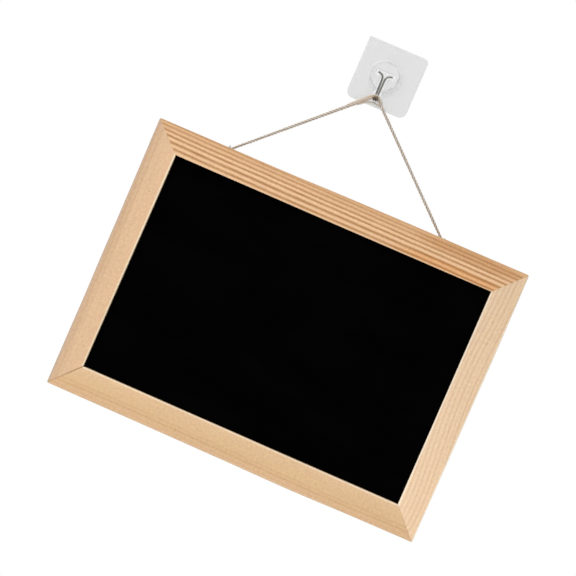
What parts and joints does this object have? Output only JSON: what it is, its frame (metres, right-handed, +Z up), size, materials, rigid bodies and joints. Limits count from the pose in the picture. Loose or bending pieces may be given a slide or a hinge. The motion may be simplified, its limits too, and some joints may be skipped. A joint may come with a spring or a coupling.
{
  "type": "wall chalkboard",
  "caption": "Small wooden-framed chalkboard with a black writing surface, hung by twine from a clear adhesive wall hook with a swinging wire hook.",
  "frame": {"origin": "middle of the hook pad's adhesive back face, which lies on the wall", "axes": "+Z up, +X to the viewer's right, +Y into the wall; the board faces -Y"},
  "size_m": [0.35, 0.0222, 0.3918],
  "materials": {
    "top_pine": "oiled, warm, with dark growth lines",
    "bottom_pine": "oiled, plain",
    "left_pine": "oiled, plain",
    "right_pine": "oiled, pale, with fine growth lines",
    "black_board": "matte black chalkboard paint on hardboard",
    "bright_steel": "zinc plated",
    "polished_wire": "polished",
    "clear_plastic": "clear, glossy",
    "sticky_film": "clear adhesive film",
    "jute": "twisted natural twine"
  },
  "bodies": {
    "wall_fixing": {"adhesive_film": "sticky_film", "hook_pad": "clear_plastic", "hook_boss": "clear_plastic"},
    "hook": {"wire_hook": "polished_wire"},
    "cord": {"hanging_cord": "jute", "hook_strand": "jute", "knot_left": "jute", "knot_right": "jute"},
    "board": {"top_rail": "top_pine", "bottom_rail": "bottom_pine", "left_stile": "left_pine", "right_stile": "right_pine", "writing_panel": "black_board", "corner_staple_top_left_1": "bright_steel", "corner_staple_top_left_2": "bright_steel", "corner_staple_top_right_1": "bright_steel", "corner_staple_top_right_2": "bright_steel", "corner_staple_bottom_left_1": "bright_steel", "corner_staple_bottom_left_2": "bright_steel", "corner_staple_bottom_right_1": "bright_steel", "corner_staple_bottom_right_2": "bright_steel", "panel_point_top_1": "bright_steel", "panel_point_top_2": "bright_steel", "panel_point_top_3": "bright_steel", "panel_point_bottom_1": "bright_steel", "panel_point_bottom_2": "bright_steel", "panel_point_bottom_3": "bright_steel", "panel_point_left_1": "bright_steel", "panel_point_left_2": "bright_steel", "panel_point_right_1": "bright_steel", "panel_point_right_2": "bright_steel", "screw_eye_left": "bright_steel", "screw_eye_right": "bright_steel"}
  },
  "joints": [
    {"name": "hook_pivot", "type": "hinge", "parent": "wall_fixing", "child": "hook", "pos_m": [-0.0022, -0.00525, 0.0015], "axis": [-1, 0, 0], "range_deg": [0, 90]},
    {"name": "cord_swing", "type": "hinge", "parent": "hook", "child": "cord", "pos_m": [-0.0022, -0.00895, -0.02492], "axis": [0, 1, 0], "range_deg": [-40, 40]},
    {"name": "board_tilt", "type": "hinge", "parent": "cord", "child": "board", "pos_m": [-0.0002, -0.0046, -0.11315], "axis": [-1, 0, 0], "range_deg": [0, 35]}
  ]
}
